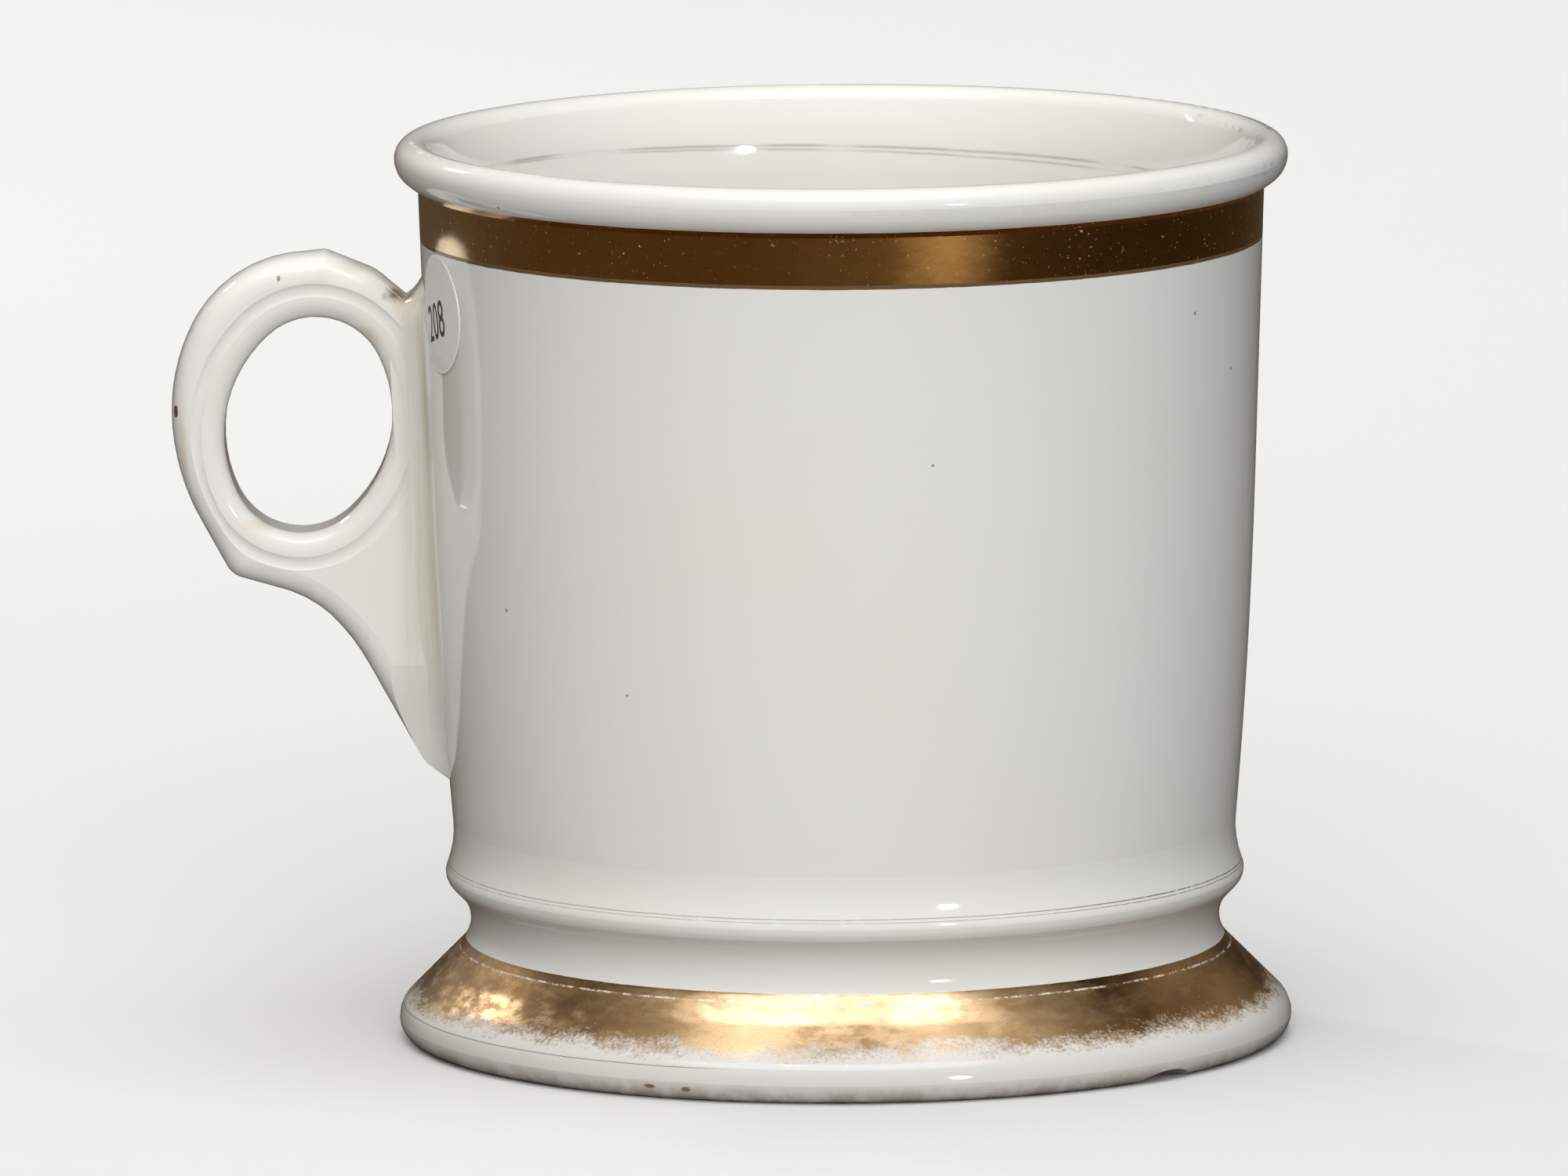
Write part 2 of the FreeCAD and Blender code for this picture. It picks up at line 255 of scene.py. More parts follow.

# %% [markdown]
# ## Distance on the label
# The round label is cut along a line out from the cup, so its edge is a plain distance from that line. The
# paper uses it for a painted highlight along its cut edge, and the glaze beside it for a thin painted shadow
# around it.

# %% Group: distance on the label
LABEL_TURN = math.radians(-162.8)
LABEL_LEVEL = 76.8
LABEL_RADIUS = 6.0
LABEL, given, made = new_group("label_distance", [("Millimetres", "Vector", None)], [("Distance", "Float")])
label_right = (-math.sin(LABEL_TURN), math.cos(LABEL_TURN), 0.0)
along = vector_calc(LABEL, "DOT_PRODUCT", given["Millimetres"], label_right, "Value")
above = calc(LABEL, "SUBTRACT", split(LABEL, given["Millimetres"])[2], LABEL_LEVEL)
flat = put(LABEL, "ShaderNodeCombineXYZ", {0: along, 1: above}).outputs[0]
LABEL.links.new(vector_calc(LABEL, "LENGTH", flat, result="Value"), made["Distance"])
print("group", LABEL.name)

# %% [markdown]
# ## Glazed porcelain with worn gilding
# White porcelain lies under a clear glossy glaze, and gold was fired on over it. The gold is a film with no
# thickness, so it is a mask in one material and not a piece of its own. The white is a little warmer in
# slow clouds, and darker towards the foot's edge as painted shade, which tones down the light there.

# %% Porcelain: the white
GLAZE = (0.80, 0.795, 0.77)
GLAZE_WARM = (0.78, 0.765, 0.71)
GLAZE_FOOT_SHADE = (0.67, 0.65, 0.625)
FOOT_SHADE_FROM = 7.0
FOOT_SHADE_BELOW = 4.6
OUTSIDE_FROM = (41.6, 42.2)

porcelain, tree, where = new_material("gilded_porcelain")
place = use_group(tree, PLACE, {"Position": where})
spot_at = place["Millimetres"]
height = place["Height"]
reach = place["Radius"]
axes = split(tree, spot_at)
outside = ramp(tree, reach, *OUTSIDE_FROM)
warm_clouds = ramp(tree, noise(tree, spot_at, 0.035, 2.0), 0.35, 0.7, 0.0, 0.45)
body = tint(tree, warm_clouds, GLAZE, GLAZE_WARM)
# Painted shade: the white is darkened towards the foot's edge.
body = tint(tree, ramp(tree, height, FOOT_SHADE_FROM, FOOT_SHADE_BELOW, 0.0, 0.9), body, GLAZE_FOOT_SHADE)
print("glaze ready")

# %% [markdown]
# ### The gilt band at the neck
# The neck's band is whole, polished and finely pitted. It could be cut from the surface as faces of its
# own, but its edge would follow the mesh. A band group gives its edges, and wear at a small scale its pits.

# %% Gilding: the neck's band
NECK_GOLD = (83.4, 88.95)


def painted(span, level, waver, waver_scale, softness=0.05):
    """A painted band or line between two levels, in millimetres."""
    return use_group(tree, BAND, {
        "Position": spot_at, "Height": level, "Low": span[0], "High": span[1],
        "Waver": waver, "Waver Scale": waver_scale, "Softness": softness})["Mask"]


def rubbed(scale, amount, softness):
    """Ragged islands of wear on the cup."""
    return use_group(tree, WEAR, {
        "Position": spot_at, "Scale": scale, "Amount": amount, "Softness": softness})["Mask"]


pits = rubbed(2.2, 0.36, 0.03)
neck_band = product(tree, painted(NECK_GOLD, height, 0.05, 0.35, 0.04), outside,
                    calc(tree, "SUBTRACT", 1.0, pits))
print("neck band", NECK_GOLD)

# %% [markdown]
# ### The gilt band on the foot
# The foot's band stood on shelves for years: it is powdery, and thins downwards until only specks of it are
# left on the white. Noise added to the height gives that slow thinning, where a plain edge would look cut
# out. A broken pale line runs along its groove where the gold is missing: partly wear, partly a painted
# glint line.

# %% Gilding: the foot's band
FOOT_GOLD_SPAN = (3.9, 10.35)
FOOT_GROOVE = (9.38, 9.60)
THINNING_FROM = 4.35
LEFT_END = (-44.0, -34.0)
BRUSHED = (0.45, 0.45, 1.1)

brushed_at = vector_calc(tree, "MULTIPLY", spot_at, BRUSHED)
clouds = noise(tree, brushed_at, 0.30, 3.0, 0.6)
patches = noise(tree, brushed_at, 0.85, 4.0, 0.65)
powder = noise(tree, spot_at, 2.6, 4.0, 0.75)
depth = calc(tree, "MULTIPLY_ADD", clouds, 3.2, calc(tree, "MULTIPLY_ADD", height, -1.0, THINNING_FROM))
depth = calc(tree, "ADD", depth, ramp(tree, axes[0], *LEFT_END, -0.5, 0.0))
rub = calc(tree, "MULTIPLY_ADD", patches, 1.5, calc(tree, "MULTIPLY_ADD", powder, 2.4, -1.95))
rub = calc(tree, "ADD", calc(tree, "MULTIPLY_ADD", depth, 0.62, rub), 0.0, clamp=True)
# Partly wear, partly painted glints: a broken pale line along the groove where the gold is taken away.
groove_wear_and_glints = product(tree, painted(FOOT_GROOVE, height, 0.06, 0.2), rubbed(0.9, 0.5, 0.08))
foot_band = product(tree, painted(FOOT_GOLD_SPAN, height, 0.05, 0.3), calc(tree, "SUBTRACT", 1.0, rub),
                    calc(tree, "MULTIPLY_ADD", groove_wear_and_glints, -0.85, 1.0))
gold = calc(tree, "MAXIMUM", neck_band, foot_band)
print("foot band", FOOT_GOLD_SPAN)

# %% [markdown]
# ### Painted hair lines
# A worn pair runs round the ring, a fainter pair inside the rim drifts downhill to the right, a brown
# outline lies under the neck's gold and a last line on the foot's left. All are bands a fraction of a
# millimetre wide. The pair inside the rim tilts because its height is taken with a share of x added.

# %% Hair lines
RING_LINES = ((18.17, 18.32), (17.84, 17.96))
INNER_LINES = ((87.1, 87.6, 0.024), (86.7, 87.1, 0.031))
NECK_OUTLINE = (83.02, 83.5)
FOOT_LINE = (3.44, 3.58)
BORE = (41.0, 41.4)


def strongest(masks):
    """The highest of several masks."""
    top = masks[0]
    for mask in masks[1:]:
        top = calc(tree, "MAXIMUM", top, mask)
    return top


unbroken = calc(tree, "MULTIPLY_ADD", rubbed(0.7, 0.42, 0.1), -0.85, 1.0)
ring_pair = strongest([painted(span, height, 0.05, 0.2) for span in RING_LINES])
ring_pair = product(tree, ring_pair, unbroken, ramp(tree, axes[0], 14.0, 32.0, 0.52, 0.95))

inner_pair = strongest([
    painted((low, high), calc(tree, "MULTIPLY_ADD", axes[0], tilt, height), 0.12, 0.12, 0.25)
    for low, high, tilt in INNER_LINES])
in_bore = calc(tree, "SUBTRACT", 1.0, ramp(tree, reach, *BORE))
faint = ramp(tree, noise(tree, spot_at, 0.09, 3.0, 0.6), 0.36, 0.62, 0.08, 0.45)

neck_outline = product(tree, painted(NECK_OUTLINE, height, 0.06, 0.35), outside)
foot_line = product(tree, painted(FOOT_LINE, height, 0.05, 0.2), ramp(tree, axes[0], -10.0, -18.0, 0.0, 0.7))
lines = strongest([ring_pair, product(tree, inner_pair, in_bore, faint), neck_outline, foot_line])
print("lines ready")

# %% [markdown]
# ### Stains, marks, dirt and painted shade
# Old slip and tea have coloured the handle's root, its notch and a few edges. The root's colour is an
# upright band bounded by radius, side and height, with upright streaks in it: partly stain, partly painted
# shade and painted reflection in the hollow where the handle meets the wall, and darkest, as painted shade,
# along the line where the two meet. It stays on the outside of the cup, because a mask in space would
# otherwise show through on the inner wall.

# %% Stains and painted shade: the handle's root
STREAKED = (1.3, 1.3, 0.05)
ROOT_HALF_WIDTH = 7.0

streaks = noise(tree, vector_calc(tree, "MULTIPLY", spot_at, STREAKED), 1.0, 3.0, 0.6)
side = calc(tree, "ABSOLUTE", axes[1])
# Partly stain, partly painted shade and painted reflection in the hollow at the handle's root.
root_stain_and_shade = product(
    tree, ramp(tree, reach, 46.8, 44.6), ramp(tree, axes[0], -38.0, -40.0),
    ramp(tree, side, ROOT_HALF_WIDTH, 6.2), outside, ramp(tree, height, 80.0, 76.0),
    ramp(tree, height, 30.0, 44.0), ramp(tree, streaks, 0.25, 0.75, 0.45, 1.0))
# Painted shade: darker along the line where the handle meets the wall.
crease_painted_shade = product(tree, root_stain_and_shade, ramp(tree, side, 5.0, 6.2))
print("root stain ready")

# %% [markdown]
# ### Spots
# Tea, iron specks in the clay and a little rust have left small marks, and one tall thin mark on the
# handle's outer edge is a painted reflection line. Each one's place is in millimetres from the cup's axis,
# read off the photograph through the camera below. The three sizes are half of its ellipsoid's width, depth
# and height, and the ellipsoid colours the surface where that passes through it.

# %% Stains: spots
def spot(centre, size, edge=0.6, break_up=0.5, break_scale=0.8):
    """A soft stain about a point."""
    return use_group(tree, SPOT, {
        "Millimetres": spot_at, "Centre": centre, "Size": size,
        "Edge": edge, "Break Up": break_up, "Break Scale": break_scale})["Mask"]


tan_stains_and_edge_reflection = strongest([
    spot((-49.0, -2.0, 80.4), (4.5, 5.0, 0.8), 0.9),
    spot((-45.2, -2.5, 76.8), (2.0, 4.0, 2.4), 0.9),
    spot((-59.5, -3.6, 53.9), (3.2, 2.2, 0.8), 0.9),
    spot((-48.7, -4.0, 73.4), (1.6, 1.2, 1.4), 0.9),
    # Painted reflection: a tall thin line along the handle's rounded outer edge.
    spot((-67.9, -3.9, 60.0), (0.7, 0.9, 8.0), 0.9),
])
notch = spot((-45.9, -2.6, 77.5), (2.2, 2.2, 0.95), 0.7, 1.1, 1.2)
red = spot((-68.75, -3.5, 65.6), (0.4, 0.9, 0.85), 0.2, 0.3, 2.0)
specks = strongest([
    spot((-57.9, -4.5, 79.5), (0.22, 0.6, 0.35), 0.3, 0.3),
    spot((9.0, -41.8, 64.9), (0.2, 0.4, 0.2), 0.5, 0.0),
    spot((-34.5, -24.3, 47.8), (0.22, 0.3, 0.28), 0.5, 0.0),
    spot((-22.1, -35.4, 40.6), (0.18, 0.3, 0.18), 0.5, 0.0),
    spot((35.9, -24.0, 77.9), (0.25, 0.3, 0.25), 0.5, 0.0),
    spot((-34.9, -29.1, 89.8), (0.25, 0.3, 0.2), 0.5, 0.0),
    spot((39.7, -16.5, 71.2), (0.2, 0.3, 0.25), 0.5, 0.0),
])
rust = strongest([
    spot((-20.1, -41.5, 1.4), (0.7, 0.8, 0.3), 0.4, 0.8, 1.5),
    spot((-16.4, -43.1, 1.3), (0.6, 0.8, 0.35), 0.4, 0.8, 1.5),
])
print("spots ready")

# %% [markdown]
# ### Dirt at the foot, and a painted shadow at the label
# The foot's lowest edge has picked up brown dirt in patches, and a thin grey line of painted shadow lies in
# the glaze around the label, stronger lower down. Both follow a measure that exists already: the height, and
# the distance from the label's middle.

# %% Stains: the ground edge's dirt and the label's painted shadow
dirt_clouds = ramp(tree, noise(tree, spot_at, 0.35, 4.0, 0.65), 0.36, 0.6)
ground = product(tree, ramp(tree, height, 2.3, 0.2), dirt_clouds)
from_label = use_group(tree, LABEL, {"Millimetres": spot_at})["Distance"]
# Painted shadow: a thin darker line in the glaze around the label, stronger lower down.
label_painted_shadow = product(
    tree, ramp(tree, from_label, LABEL_RADIUS + 0.45, LABEL_RADIUS + 0.1), ramp(tree, axes[0], -34.0, -36.0),
    ramp(tree, height, 80.0, 74.0, 0.25, 0.6), outside)
print("edges ready")

# %% [markdown]
# ### The porcelain's colour
# The layers go over one another in the order of the making: glaze, stains, lines, then gold. Each is a
# mask, how strongly it covers and a colour, so a loop can lay them.

# %% Porcelain: colour under the gold
LINE_BROWN = (0.14, 0.085, 0.045)
layers = [
    # Partly stain, partly painted shade and reflection at the handle's root.
    (root_stain_and_shade, 0.7, (0.66, 0.61, 0.50)),
    # Painted shade along the line where handle and wall meet.
    (crease_painted_shade, 0.5, (0.50, 0.44, 0.30)),
    # Stains, and one painted reflection line on the handle's edge.
    (tan_stains_and_edge_reflection, 0.42, (0.62, 0.45, 0.28)),
    (notch, 0.9, (0.12, 0.065, 0.03)),
    (red, 0.95, (0.09, 0.02, 0.02)),
    (specks, 0.75, (0.14, 0.10, 0.07)),
    (ground, 0.7, (0.36, 0.29, 0.20)),
    (rust, 1.0, (0.28, 0.13, 0.05)),
    (lines, 1.0, LINE_BROWN),
    # Painted shadow around the label.
    (label_painted_shadow, 1.0, (0.42, 0.40, 0.36)),
]
colour = body
for mask, strength, stain in layers:
    colour = tint(tree, calc(tree, "MULTIPLY", mask, strength), colour, stain)
print(len(layers), "layers over the glaze")

# %% [markdown]
# ### The gold's colour
# The neck's gold is deep and a little uneven, and paler at its left end, a painted reflection of the white
# handle and label beside it. The foot's is browner where it has worn. One grain darkens both, as the film's
# fine pits do.

# %% Porcelain: gold
GOLD = (0.82, 0.46, 0.15)
GOLD_WORN = (0.70, 0.40, 0.14)
GOLD_PITS = (0.36, 0.22, 0.09)
GOLD_PAINTED_REFLECTION = (0.86, 0.74, 0.56)
FOOT_GOLD = (0.80, 0.55, 0.29)
FOOT_BROWN = (0.55, 0.36, 0.19)
FOOT_PITS = (0.40, 0.26, 0.13)

patchy = noise(tree, spot_at, 0.22, 4.0, 0.65)
grain = noise(tree, spot_at, 5.0, 3.0, 0.7)
neck_gold = tint(tree, ramp(tree, patchy, 0.35, 0.75), GOLD, GOLD_WORN)
neck_gold = tint(tree, ramp(tree, grain, 0.52, 0.75, 0.0, 0.6), neck_gold, GOLD_PITS)
# Painted reflection: the neck's gold paler towards its left end, near the handle.
neck_gold = tint(tree, ramp(tree, axes[0], -30.0, -42.0, 0.0, 0.75), neck_gold, GOLD_PAINTED_REFLECTION)
foot_gold = tint(tree, ramp(tree, clouds, 0.36, 0.62), FOOT_GOLD, FOOT_BROWN)
foot_gold = tint(tree, ramp(tree, grain, 0.5, 0.75, 0.0, 0.6), foot_gold, FOOT_PITS)
high_up = ramp(tree, height, 40.0, 60.0)
colour = tint(tree, gold, colour, tint(tree, high_up, foot_gold, neck_gold))
print("gold ready")

# %% [markdown]
# ### The porcelain's surface
# The glaze is nearly a mirror, with a slow ripple from the kiln. The gold is softer, as brushed metal, and
# the foot's is the roughest. A last, broad term in the bump bows the top of the foot's slope by a few
# degrees, which widens the light that it mirrors, as the real foot's hollow curve does.

# %% Porcelain: surface
SCRATCHED = (0.5, 0.5, 4.0)
FOOT_BOW_SPAN = (7.4, 10.0)
FOOT_BOW = 5.2
GLAZE_IOR = 1.52
BUMP_DEPTH = 0.2 * MM

scuffs = noise(tree, vector_calc(tree, "MULTIPLY", spot_at, SCRATCHED), 1.0, 5.0, 0.75)
neck_rough = ramp(tree, scuffs, 0.3, 0.75, 0.10, 0.20)
foot_rough = ramp(tree, patches, 0.35, 0.7, 0.13, 0.32)
gold_rough = blend(tree, high_up, foot_rough, neck_rough)
glaze_rough = ramp(tree, noise(tree, spot_at, 0.4, 3.0), 0.4, 0.8, 0.05, 0.10)
rough = blend(tree, gold, glaze_rough, gold_rough)

ripple = noise(tree, spot_at, 0.12, 2.0, 0.4)
fine_ripple = noise(tree, spot_at, 1.2, 2.0, 0.5)
film_edge = calc(tree, "MULTIPLY", gold, 0.05)
raised = calc(tree, "ADD", film_edge, ramp(tree, height, *FOOT_BOW_SPAN, 0.0, FOOT_BOW))
relief = calc(tree, "ADD", calc(tree, "MULTIPLY_ADD", fine_ripple, 0.03, ripple), raised)
bump = put(tree, "ShaderNodeBump", {"Strength": 0.25, "Distance": BUMP_DEPTH, "Height": relief}).outputs[0]
add_surface(tree, {
    "Base Color": colour, "Metallic": gold, "Roughness": rough, "IOR": GLAZE_IOR, "Normal": bump})
cover(mug, porcelain)
print("material", porcelain.name, len(tree.nodes), "nodes")

# %% [markdown]
# ## Paper label
# A small round sticker of matt white paper, a little yellowed and fibrous, with a painted highlight along
# its cut edge. Its fibres are one fine noise, which sets its colour, its dullness and its small relief
# together.

# %% Material: paper
PAPER_WHITE = (0.86, 0.855, 0.83)
PAPER_FIBRE = (0.80, 0.79, 0.76)
PAPER_EDGE_HIGHLIGHT = (0.93, 0.93, 0.91)
PAPER_DEPTH = 0.04 * MM

paper, tree, where = new_material("label_paper")
on_paper = use_group(tree, PLACE, {"Position": where})["Millimetres"]
fibres = noise(tree, on_paper, 1.6, 4.0, 0.7)
from_middle = use_group(tree, LABEL, {"Millimetres": on_paper})["Distance"]
# Painted highlight: a paler ring along the paper's cut edge.
paper_edge_highlight = ramp(tree, from_middle, LABEL_RADIUS - 0.16, LABEL_RADIUS - 0.02)
colour = tint(tree, paper_edge_highlight, tint(tree, fibres, PAPER_WHITE, PAPER_FIBRE), PAPER_EDGE_HIGHLIGHT)
bump = put(tree, "ShaderNodeBump", {"Strength": 0.3, "Distance": PAPER_DEPTH, "Height": fibres}).outputs[0]
dullness = ramp(tree, fibres, 0.3, 0.8, 0.55, 0.7)
add_surface(tree, {"Base Color": colour, "Roughness": dullness, "Normal": bump})
cover(sticker, paper)
print("material", paper.name)

# %% [markdown]
# ## Ink
# Black stamping ink soaks into paper unevenly, so it is a very dark grey with soft clouds, and matt.

# %% Material: ink
INK_BLACK = (0.018, 0.018, 0.02)
INK_GREY = (0.05, 0.05, 0.052)

ink, tree, where = new_material("label_ink")
soaked = noise(tree, use_group(tree, PLACE, {"Position": where})["Millimetres"], 3.0, 3.0, 0.6)
add_surface(tree, {"Base Color": tint(tree, soaked, INK_BLACK, INK_GREY), "Roughness": 0.6})
print("material", ink.name)

# %% [markdown]
# ## Figures on the label
# The label carries a plain shelf number. It could be a mask in the paper, but letters are hard to draw with
# sums, so it is drawn as text and turned into a mesh. It is then scaled to its size, set against the cup,
# and wrapped onto the curved paper by a modifier that keeps it a hair above.

# %% Figures: draw and scale
FIGURES_HEIGHT = 3.8 * MM
FIGURES_WIDTH = 6.2 * MM

bpy.ops.object.select_all(action="DESELECT")
bpy.ops.object.text_add(location=(0.0, 0.0, 0.0))
figures = bpy.context.object
figures.name = "sticker_figures"
figures.data.body = "208"
figures.data.align_x = "CENTER"
figures.data.align_y = "CENTER"
bpy.ops.object.convert(target="MESH")
figures = bpy.context.object
figures.scale = (FIGURES_WIDTH / figures.dimensions.x, FIGURES_HEIGHT / figures.dimensions.y, 1.0)
bpy.ops.object.transform_apply(location=False, rotation=False, scale=True)
bpy.ops.object.origin_set(type="ORIGIN_GEOMETRY", center="BOUNDS")
print("figures", [round(size / MM, 2) for size in figures.dimensions], "mm")

# %% Figures: set against the cup and wrap
FIGURES_TURN = math.radians(-164.2)
FIGURES_LEVEL = 75.9 * MM
FIGURES_RISE = math.radians(14.0)
FIGURES_REACH = 45.0 * MM
INK_LIFT = 0.03 * MM
SAME_POINT = 0.001 * MM

outward = Vector((math.cos(FIGURES_TURN), math.sin(FIGURES_TURN), 0.0))
rightward = Vector((-outward.y, outward.x, 0.0))
facing_out = Matrix((rightward, Vector((0.0, 0.0, 1.0)), outward)).transposed()
figures.rotation_mode = "QUATERNION"
figures.rotation_quaternion = (facing_out @ Matrix.Rotation(FIGURES_RISE, 3, "Z")).to_quaternion()
figures.location = Vector((AXIS_X, 0.0, FIGURES_LEVEL)) + outward * FIGURES_REACH
bpy.ops.object.transform_apply(location=True, rotation=True, scale=True)
bpy.ops.object.modifier_add(type="SHRINKWRAP")
wrap = figures.modifiers[0]
wrap.target = sticker
wrap.wrap_method = "NEAREST_SURFACEPOINT"
wrap.wrap_mode = "ABOVE_SURFACE"
wrap.offset = INK_LIFT
bpy.ops.object.modifier_apply(modifier=wrap.name)
bpy.ops.object.mode_set(mode="EDIT")
bpy.ops.mesh.select_all(action="SELECT")
bpy.ops.mesh.remove_doubles(threshold=SAME_POINT)
bpy.ops.object.mode_set(mode="OBJECT")
cover(figures, ink)
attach(figures, "root")
print("figures", len(figures.data.polygons), "faces")

# %% [markdown]
# ## Floor
# A pale, plain floor carries the mug's shadow. It belongs to the studio and not to the object. The camera
# sees its pale colour, and the mug is lit from below by a darker grey, or its white would lose its shape.
# In reflections it is a brown table with two lighter pools, which the neck's gold shows as a soft sheen.

# %% Floor: colours
FLOOR_SIZE = 12.0
PALE_DARKER = (0.74, 0.74, 0.735)
PALE_LIGHTER = (0.76, 0.76, 0.755)
BOUNCE_GREY = (0.24, 0.24, 0.24)
TABLE_LEFT = (0.070, 0.050, 0.032)
TABLE_RIGHT = (0.026, 0.020, 0.014)
POOLS = (
    ((0.06, -0.60, 0.0), 0.0, 0.34, (0.125, 0.105, 0.075)),
    ((0.30, -0.56, 0.0), 0.05, 0.19, (1.0, 0.90, 0.80)),
)

floor_paint, tree, where = new_material("pale_floor")
path = put(tree, "ShaderNodeLightPath").outputs
pale = tint(tree, noise(tree, where, 3.0, 2.0), PALE_DARKER, PALE_LIGHTER)
table = tint(tree, ramp(tree, split(tree, where)[0], 0.1, 0.6), TABLE_LEFT, TABLE_RIGHT)
for middle, full_within, none_beyond, pool in POOLS:
    away = vector_calc(tree, "DISTANCE", where, middle, "Value")
    table = tint(tree, ramp(tree, away, none_beyond, full_within), table, pool)
colour = tint(tree, path["Is Camera Ray"], BOUNCE_GREY, pale)
colour = tint(tree, path["Is Glossy Ray"], colour, table)
add_surface(tree, {"Base Color": colour, "Roughness": 0.9, "Specular IOR Level": 0.0})
print("material", floor_paint.name)

# %% Floor: plane
bpy.ops.mesh.primitive_plane_add(size=FLOOR_SIZE, location=(0.0, 0.0, 0.0))
floor = bpy.context.object
floor.name = "studio_floor"
cover(floor, floor_paint)
print("floor", floor.name, FLOOR_SIZE, "m")

# %% [markdown]
# ## Lamps
# Two small round lamps, at the right of the camera and behind on the left, make the points of light on the
# glaze. They are small because a glazed mug mirrors a lamp as it is, and the photograph's glints are small.
# The right one lights no matt surface, so that the soft light stays the world's.

# %% Lamps
LAMPS_AIM = Vector((AXIS_X, 0.0, 0.05))
WARM_WHITE = (1.0, 0.97, 0.92)


def round_lamp(name, heading, distance, width, power, colour=(1.0, 1.0, 1.0)):
    """A round area lamp at a heading and distance from the mug's middle, aimed at it."""
    at = LAMPS_AIM + Vector(heading).normalized() * distance
    bpy.ops.object.light_add(type="AREA", location=at)
    lamp = bpy.context.object
    lamp.name = name
    lamp.data.shape = "DISK"
    lamp.data.size = width
    lamp.data.energy = power
    lamp.data.color = colour
    lamp.rotation_mode = "QUATERNION"
    lamp.rotation_quaternion = (LAMPS_AIM - at).to_track_quat("-Z", "Y")
    return lamp


right_key = round_lamp("right_key", (0.475, -0.851, 0.244), 1.3, 0.09, 4.5)
right_key.visible_diffuse = False
back_left = round_lamp("back_left", (-0.55, 0.66, 0.51), 1.2, 0.12, 1.6, WARM_WHITE)
print("lamps", right_key.name, back_left.name)

# %% [markdown]
# ## The soft light
# The soft light comes from the world: one broad glow behind the camera and one overhead. Large area lamps
# could do it, but the gold would mirror them as white panes. In the world, what matt surfaces feel and what
# glossy ones mirror can be two different things.

# %% World: what matt surfaces feel
FRONT_STRENGTH = 4.7
TOP_STRENGTH = 3.2
EVERYWHERE = 0.04
WARM_LEFT = (1.01, 0.985, 0.93)
COOL_RIGHT = (0.97, 0.995, 1.01)

world = bpy.data.worlds.new("studio_air")
bpy.context.scene.world = world
world.use_nodes = True
world.cycles.sampling_method = "NONE"
tree = world.node_tree
tree.nodes.clear()
heading = put(tree, "ShaderNodeTexCoord").outputs["Generated"]
across, away, upward = split(tree, heading)


def glow(x, y, z, power):
    """A soft light about a heading: 1 in its middle, and falling off faster with a higher power."""
    middle = Vector((x, y, z)).normalized()
    facing = vector_calc(tree, "DOT_PRODUCT", heading, middle, "Value")
    return calc(tree, "POWER", calc(tree, "MAXIMUM", facing, 0.0), power)


front_glow = glow(0.05, -0.966, 0.26, 9.0)
top_glow = glow(0.0, -0.05, 1.0, 6.0)
felt_level = calc(tree, "MULTIPLY_ADD", top_glow, TOP_STRENGTH, EVERYWHERE)
felt_level = calc(tree, "MULTIPLY_ADD", front_glow, FRONT_STRENGTH, felt_level)
felt_colour = tint(tree, ramp(tree, across, -0.8, 0.8), WARM_LEFT, COOL_RIGHT)
print("felt light ready")

# %% [markdown]
# ## What the glaze and the gold mirror
# The glossy rays find a dark brown room, so that the gold keeps its depth. It has a dim ceiling, two faint
# walls behind that lighten the foot's ends, and one wide panel high in front, which the foot's gold shows
# as a pale strip.

# %% World: what glossy surfaces mirror
ROOM_LEFT = (0.060, 0.043, 0.027)
ROOM_RIGHT = (0.026, 0.020, 0.014)
CEILING = (0.72, 0.68, 0.62)
LEFT_WALL = (0.80, 0.72, 0.64)
RIGHT_WALL = (0.66, 0.52, 0.40)
PANEL = (0.82, 0.87, 1.0)
PANEL_LEVEL = 0.885
PANEL_SHIFT = 0.03
PANEL_EXTRA = 2.4

panel_wide = ramp(tree, calc(tree, "ABSOLUTE", calc(tree, "ADD", across, PANEL_SHIFT)), 0.50, 0.40)
panel_tall = ramp(tree, calc(tree, "ABSOLUTE", calc(tree, "SUBTRACT", upward, PANEL_LEVEL)), 0.095, 0.075)
panel = product(tree, panel_wide, panel_tall, ramp(tree, away, 0.0, -0.2))
ceiling = ramp(tree, glow(0.0, -0.15, 0.99, 1.0), 0.62, 0.99)
left_wall = calc(tree, "MULTIPLY", glow(-0.55, 0.66, 0.45, 10.0), 0.55)
right_wall = calc(tree, "MULTIPLY", glow(0.62, 0.62, 0.45, 14.0), 0.35)

mirrored_colour = tint(tree, ramp(tree, across, -0.7, 0.9), ROOM_LEFT, ROOM_RIGHT)
things = ((ceiling, CEILING), (left_wall, LEFT_WALL), (right_wall, RIGHT_WALL), (panel, PANEL))
for mask, thing_colour in things:
    mirrored_colour = tint(tree, mask, mirrored_colour, thing_colour)
mirrored_level = calc(tree, "MULTIPLY_ADD", panel, PANEL_EXTRA, 1.0)
print("mirrored room ready")

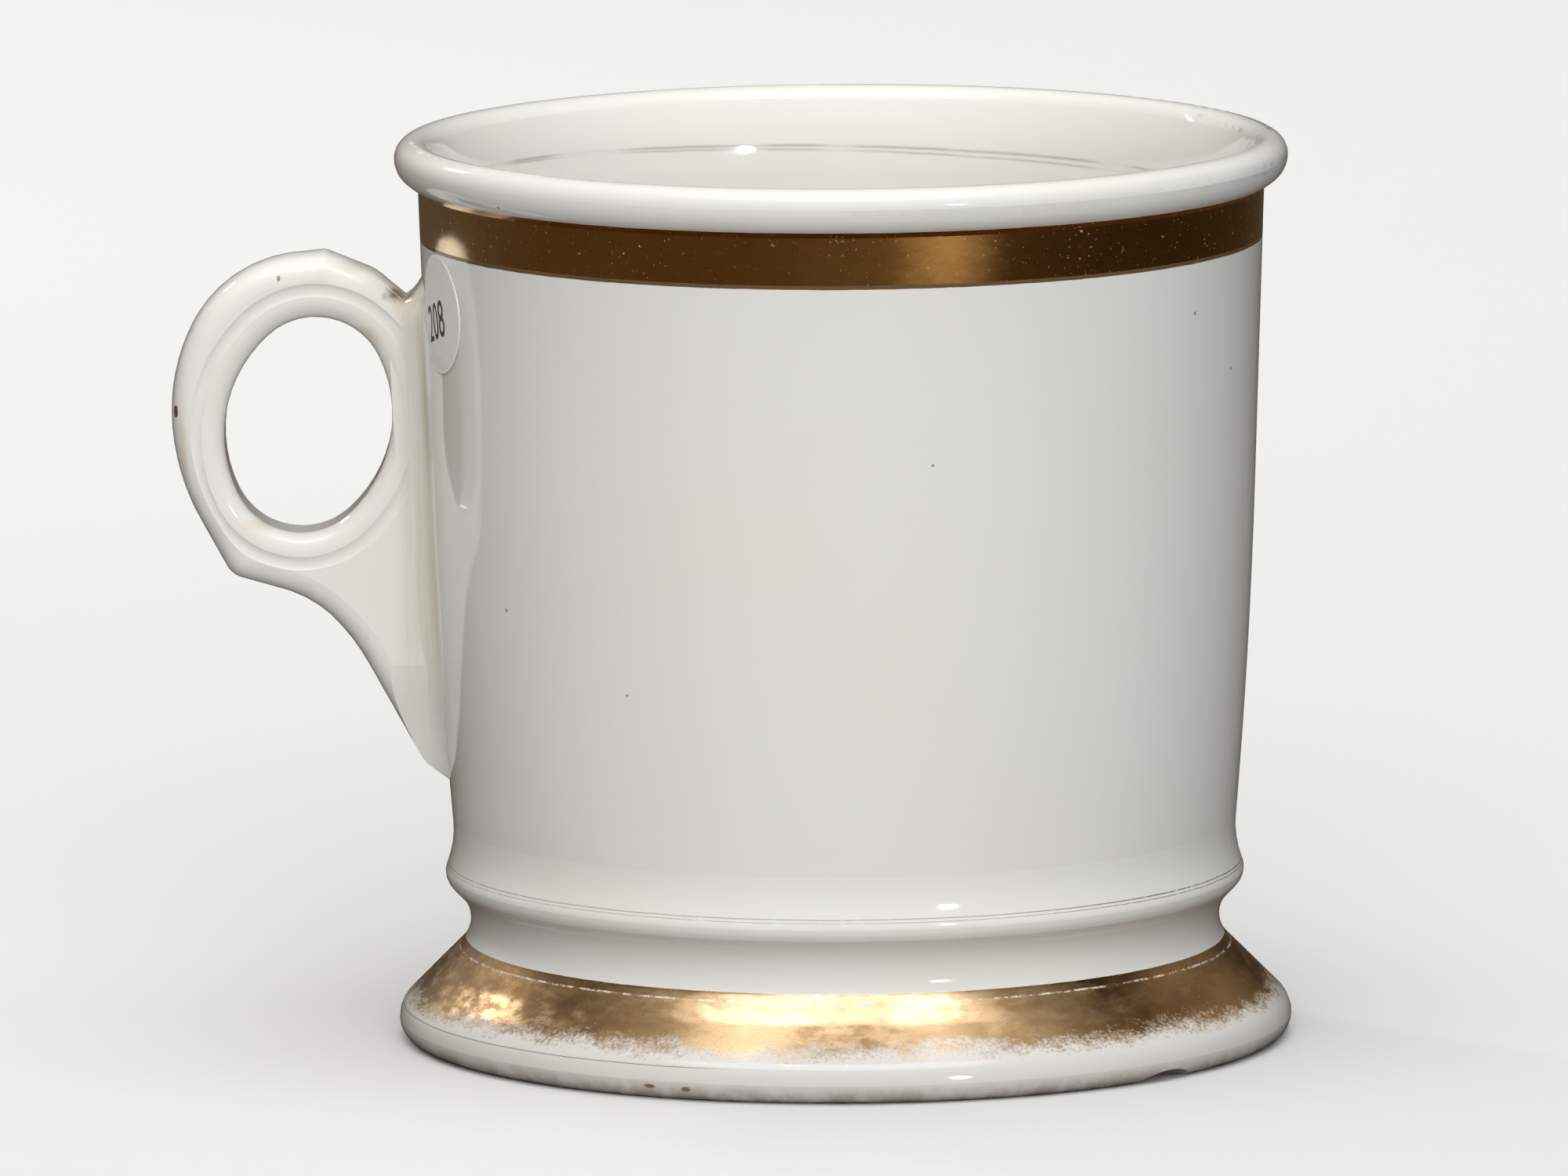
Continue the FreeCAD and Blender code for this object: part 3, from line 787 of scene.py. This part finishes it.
# %% [markdown]
# ## The world for each kind of ray
# A ray that the camera sends past the mug finds a pale, even backdrop. Glossy rays find the dark room, and
# all others the soft light. A Light Path node tells the three apart, so one world can hold them all.

# %% World: put together
BACKDROP = (0.86, 0.86, 0.86, 1.0)


def background(colour, strength):
    """A world shader of one colour and strength."""
    return put(tree, "ShaderNodeBackground", {"Color": colour, "Strength": strength}).outputs[0]


path = put(tree, "ShaderNodeLightPath").outputs
felt = background(felt_colour, felt_level)
mirrored = background(mirrored_colour, mirrored_level)
by_ray = put(tree, "ShaderNodeMixShader", {0: path["Is Glossy Ray"], 1: felt, 2: mirrored}).outputs[0]
seen = background(BACKDROP, 1.0)
mixed = put(tree, "ShaderNodeMixShader", {0: path["Is Camera Ray"], 1: by_ray, 2: seen}).outputs[0]
put(tree, "ShaderNodeOutputWorld", {"Surface": mixed})
print("world", world.name)

# %% [markdown]
# ## Camera
# A long lens about two metres away looks a little down on the rim, at the photograph's viewing angle. The
# ellipses of the rim, the bands and the foot gave its height and lens, and it leans by a third of a degree
# as the photographer's did. Its turn is set from three directions, so that no tracking is needed.

# %% Camera
LOOK_AT = Vector((AXIS_X - 6.12 * MM, 0.0, 46.38 * MM))
DISTANCE = 2.1
ELEVATION = 0.14491
LEAN = -0.006
SENSOR_WIDTH = 36.0
FOCAL_LENGTH = 467.0

back = Vector((0.0, -math.cos(ELEVATION), math.sin(ELEVATION)))
right = (-back).cross(Vector((0, 0, 1))).normalized()
up = right.cross(-back)
leaning_right = right * math.cos(LEAN) + up * math.sin(LEAN)
leaning_up = up * math.cos(LEAN) - right * math.sin(LEAN)
bpy.ops.object.camera_add(location=LOOK_AT + back * DISTANCE)
camera = bpy.context.object
camera.name = "camera"
camera.rotation_mode = "QUATERNION"
camera.rotation_quaternion = Matrix((leaning_right, leaning_up, back)).transposed().to_quaternion()
camera.data.sensor_width = SENSOR_WIDTH
camera.data.lens = FOCAL_LENGTH
camera.data.clip_start = 0.05
camera.data.clip_end = 50.0
bpy.context.scene.camera = camera
bpy.context.scene.view_settings.view_transform = "Standard"
print("lens", camera.data.lens)
